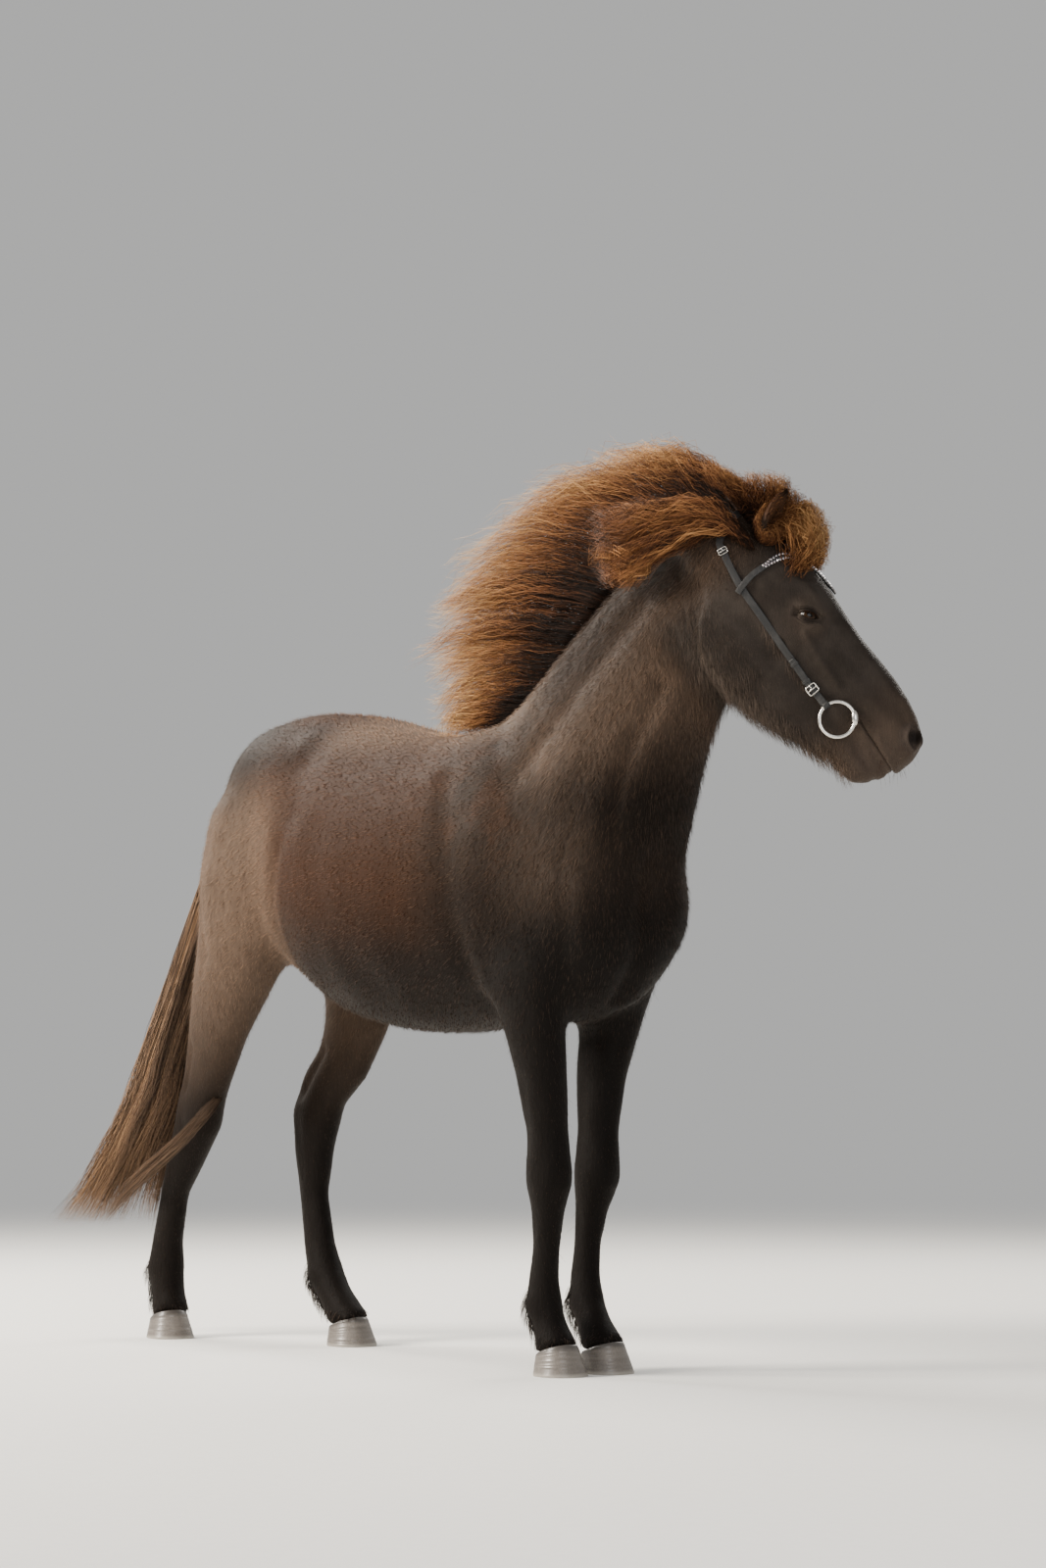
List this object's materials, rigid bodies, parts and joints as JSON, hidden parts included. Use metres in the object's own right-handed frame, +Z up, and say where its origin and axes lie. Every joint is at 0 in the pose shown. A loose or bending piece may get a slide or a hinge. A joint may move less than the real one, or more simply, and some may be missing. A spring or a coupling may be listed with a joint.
{
  "type": "icelandic horse with a bridle",
  "caption": "Still, life-size Icelandic horse standing alert with its head turned left, windblown mane and tail, wearing a plain bridle with a loose ring bit and no reins.",
  "frame": {"origin": "centre of the bounding box on the floor under the horse", "axes": "+X from the tail towards the chest, +Y to the horse's left, +Z up"},
  "size_m": [2.3934, 0.6428, 1.9555],
  "materials": {
    "coat": "short dark brown horse coat with a soft sheen",
    "hair": "long fluffy hair, dark at the roots and golden brown at the tips",
    "hoof": "grey horn, smooth and slightly glossy",
    "eye": "wet dark brown eye",
    "strap": "black bridle leather",
    "steel": "polished steel of the bit and buckles",
    "beads": "clear faceted beads"
  },
  "bodies": {
    "root": {"hoof_front_left": "hoof", "hoof_front_right": "hoof", "hoof_hind_left": "hoof", "hoof_hind_right": "hoof", "leg_front_left": "coat", "leg_hind_left": "coat", "leg_front_right": "coat", "leg_hind_right": "coat", "torso": "coat", "neck": "coat", "bit_mouthpiece": "steel", "bit_ring_left": "steel", "bit_ring_right": "steel", "head": "coat", "eye_left": "eye", "eye_right": "eye", "ear_left": "coat", "ear_right": "coat", "bridle_headpiece": "strap", "bridle_browband": "strap", "bridle_browband_beads": "beads", "bridle_buckle_upper_left": "steel", "bridle_buckle_lower_left": "steel", "bridle_buckle_upper_right": "steel", "bridle_buckle_lower_right": "steel", "mane": "hair", "forelock": "hair", "tail": "hair"}
  },
  "joints": []
}
